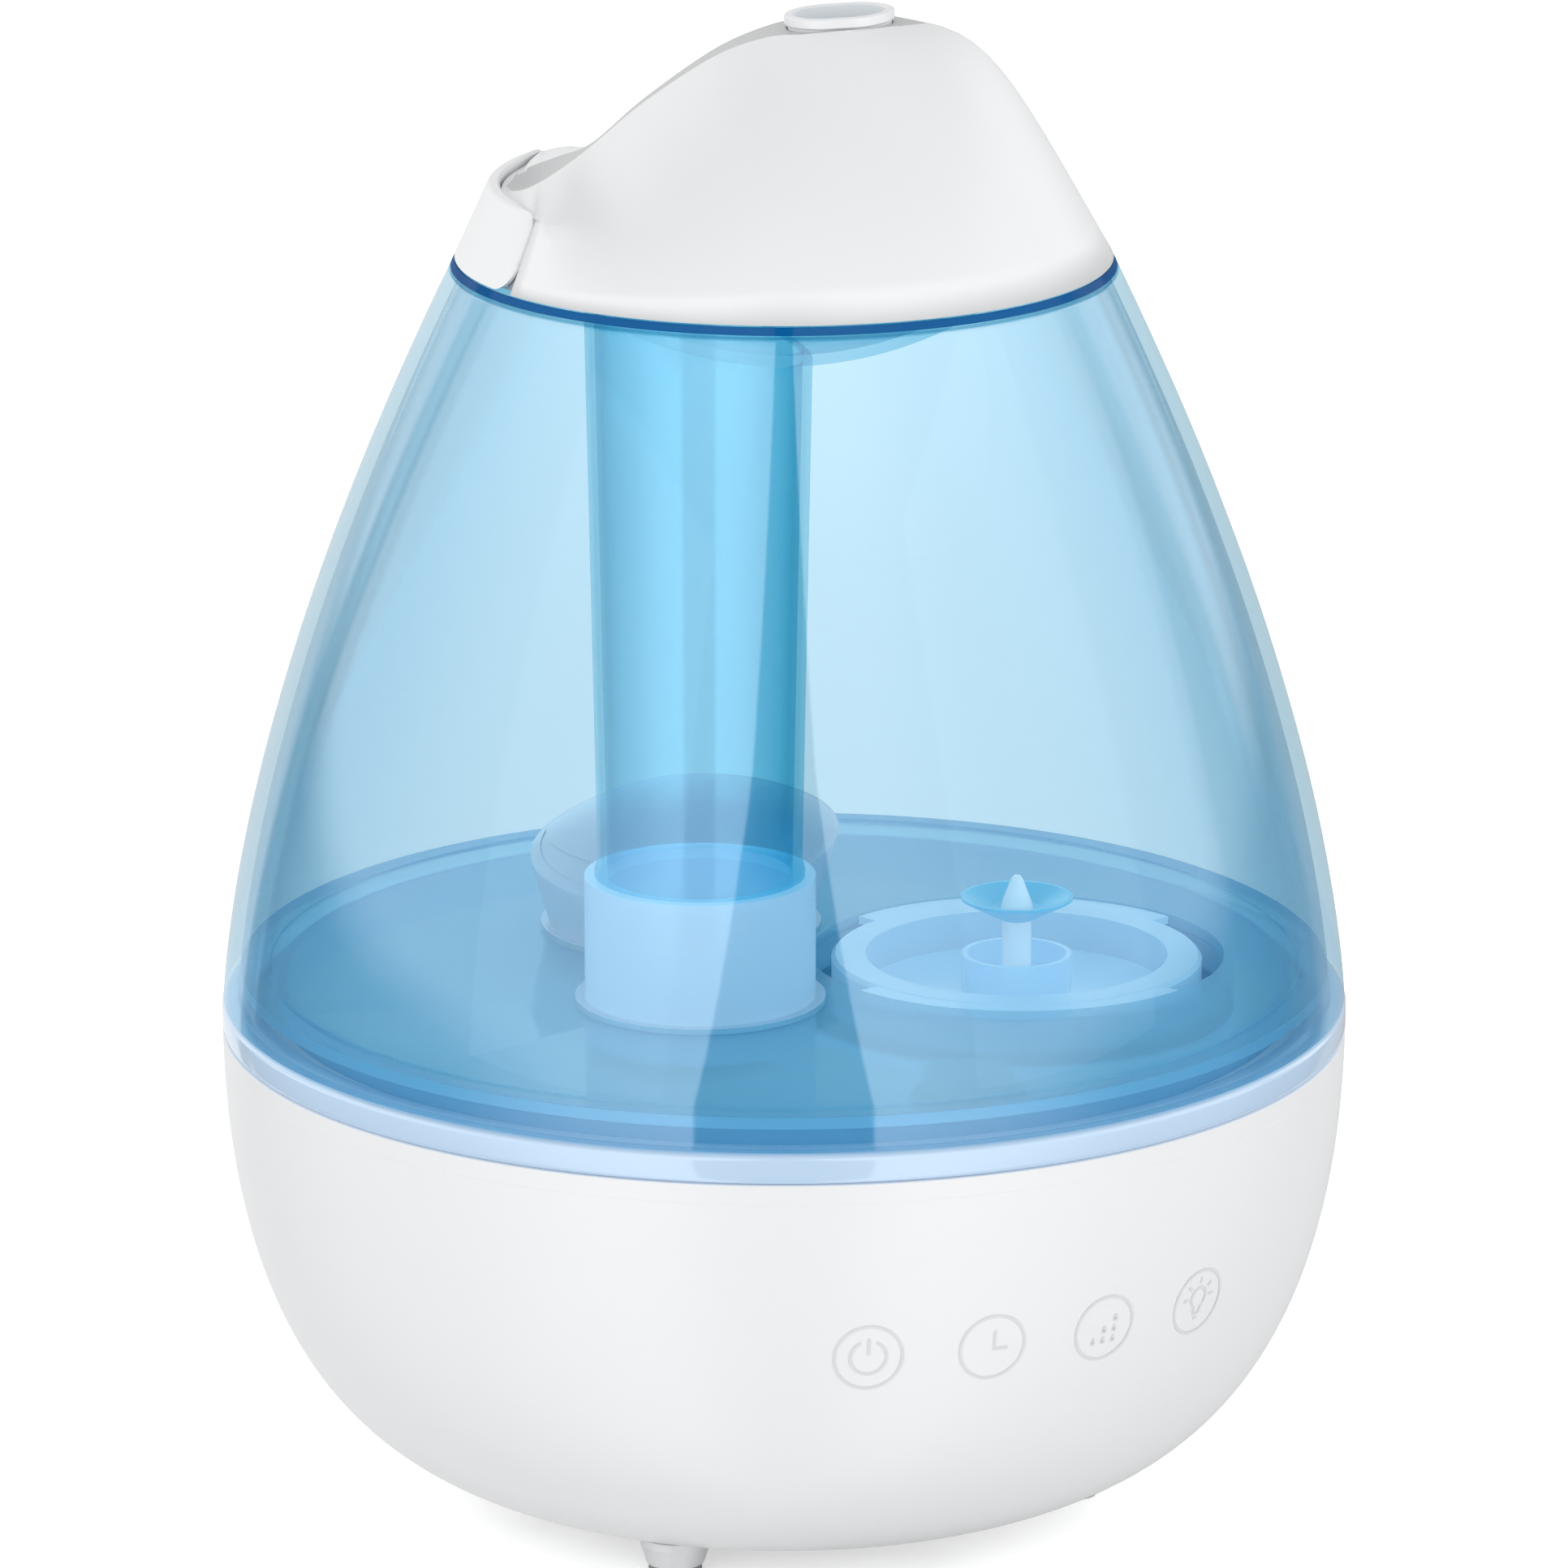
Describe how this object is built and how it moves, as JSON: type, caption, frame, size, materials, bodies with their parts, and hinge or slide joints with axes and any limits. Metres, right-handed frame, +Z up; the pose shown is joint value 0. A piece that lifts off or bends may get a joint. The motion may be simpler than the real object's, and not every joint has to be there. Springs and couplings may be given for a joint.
{
  "type": "cool mist humidifier",
  "caption": "Tabletop cool mist humidifier: a clear tapering water tank that lifts off a round base, with a swooping lid that turns to aim the mist.",
  "frame": {"origin": "on the floor under the centre of the base", "axes": "+Z up, the touch icons face -Y, and the lid's tongue points 150 degrees from +X at rest"},
  "size_m": [0.23, 0.23, 0.31],
  "materials": {
    "white_shell": "satin white plastic",
    "white_part": "smooth white plastic",
    "clear_blue": "clear blue plastic",
    "clear_blue_floor": "clear blue plastic over the white tray",
    "ring_light": "pale diffusing plastic",
    "blue_silicone": "soft blue silicone",
    "grey_rubber": "matte grey rubber",
    "black_rubber": "matte black rubber",
    "black_plastic": "black plastic",
    "steel": "plain steel",
    "alloy": "plain aluminium",
    "brass_disc": "plain brass",
    "board_green": "green circuit board",
    "magnet": "dark magnet",
    "motor_copper": "wound copper"
  },
  "bodies": {
    "base": {"base_bowl": "white_shell", "bottom_cover": "white_part", "standoffs": "white_part", "foot_pads": "grey_rubber", "cover_screws": "steel", "base_posts": "white_part", "base_tray": "white_part", "air_stack": "white_part", "float_guide": "white_part", "light_ring": "ring_light", "lamp_board": "board_green", "fan_frame": "black_plastic", "fan_motor": "motor_copper", "air_duct": "white_part", "transducer_disc": "brass_disc", "transducer_seal": "black_rubber", "transducer_retainer": "alloy", "driver_board": "board_green", "heat_sink": "alloy", "main_board": "board_green", "touch_board": "board_green", "touch_springs": "steel", "power_inlet": "black_plastic"},
    "fan": {"impeller": "black_plastic"},
    "float": {"float_puck": "white_part", "float_magnet": "magnet"},
    "tank": {"tank_shell": "clear_blue", "tank_floor": "clear_blue_floor", "fill_neck": "clear_blue_floor", "tank_ceiling": "clear_blue", "chimney": "clear_blue", "mist_tower": "white_part"},
    "fill_cap": {"fill_cap": "white_part", "cap_seal": "blue_silicone", "valve_spring": "steel"},
    "valve": {"valve_stem": "white_part", "valve_disc": "blue_silicone"},
    "lid_seat": {"lid_seat": "white_part"},
    "lid": {"lid_shell": "white_shell", "lid_grip": "white_shell", "nozzle": "white_part"}
  },
  "joints": [
    {"name": "tank_lift", "type": "slide", "parent": "base", "child": "tank", "axis": [0, 0, 1], "range_m": [0, 0.15]},
    {"name": "lid_lift", "type": "slide", "parent": "tank", "child": "lid_seat", "axis": [0, 0, 1], "range_m": [0, 0.06]},
    {"name": "lid_turn", "type": "hinge", "parent": "lid_seat", "child": "lid", "pos_m": [0, 0, 0.26], "axis": [0, 0, 1], "continuous": true},
    {"name": "cap_turn", "type": "hinge", "parent": "tank", "child": "fill_cap", "pos_m": [0.0433, -0.0204, 0.1], "axis": [0, 0, 1], "range_deg": [0, 80]},
    {"name": "valve_travel", "type": "slide", "parent": "fill_cap", "child": "valve", "axis": [0, 0, 1], "range_m": [-0.0105, 0], "deforming": ["valve_spring"]},
    {"name": "float_rise", "type": "slide", "parent": "base", "child": "float", "axis": [0, 0, 1], "range_m": [0, 0.0035]},
    {"name": "fan_spin", "type": "hinge", "parent": "base", "child": "fan", "pos_m": [-0.0065, 0.0314, 0.04], "axis": [0, 0, 1], "continuous": true}
  ],
  "couplings": [
    {"joint": "valve_travel", "follows": "tank_lift", "ratio": -0.07}
  ]
}
